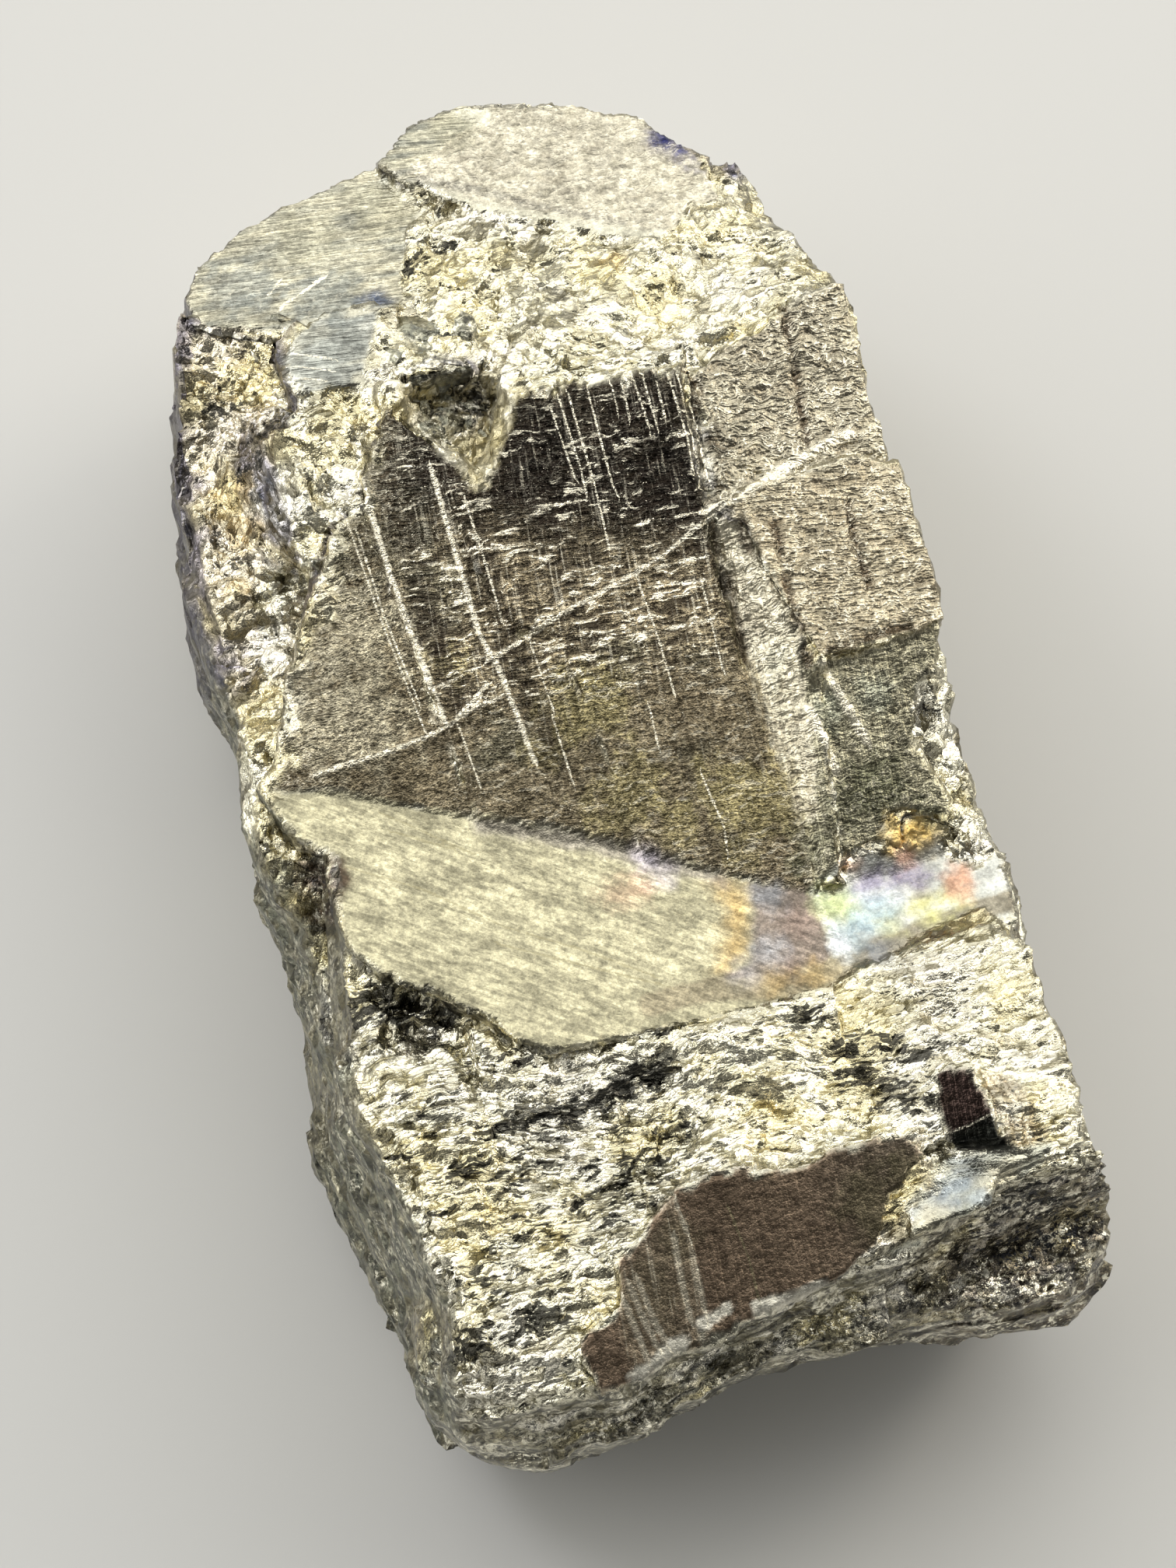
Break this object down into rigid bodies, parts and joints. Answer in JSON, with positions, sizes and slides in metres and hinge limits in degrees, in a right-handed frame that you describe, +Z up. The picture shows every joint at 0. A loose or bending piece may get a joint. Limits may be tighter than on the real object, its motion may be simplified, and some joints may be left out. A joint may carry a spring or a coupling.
{
  "type": "pyrite cluster",
  "caption": "Blocky pyrite mineral specimen with flat striated crystal faces, broken sparkling surfaces and a tarnished shelf.",
  "frame": {"origin": "on the flat crystal face that the piece lies on, under its middle", "axes": "+X across the piece, +Y along it towards the domed end, +Z up from the face it lies on"},
  "size_m": [0.031, 0.0568, 0.0195],
  "materials": {
    "pyrite": "natural metallic mineral, bright on broken surfaces, satin to dark on crystal faces, tarnished in places"
  },
  "bodies": {
    "root": {"pyrite_cluster": "pyrite"}
  },
  "joints": []
}
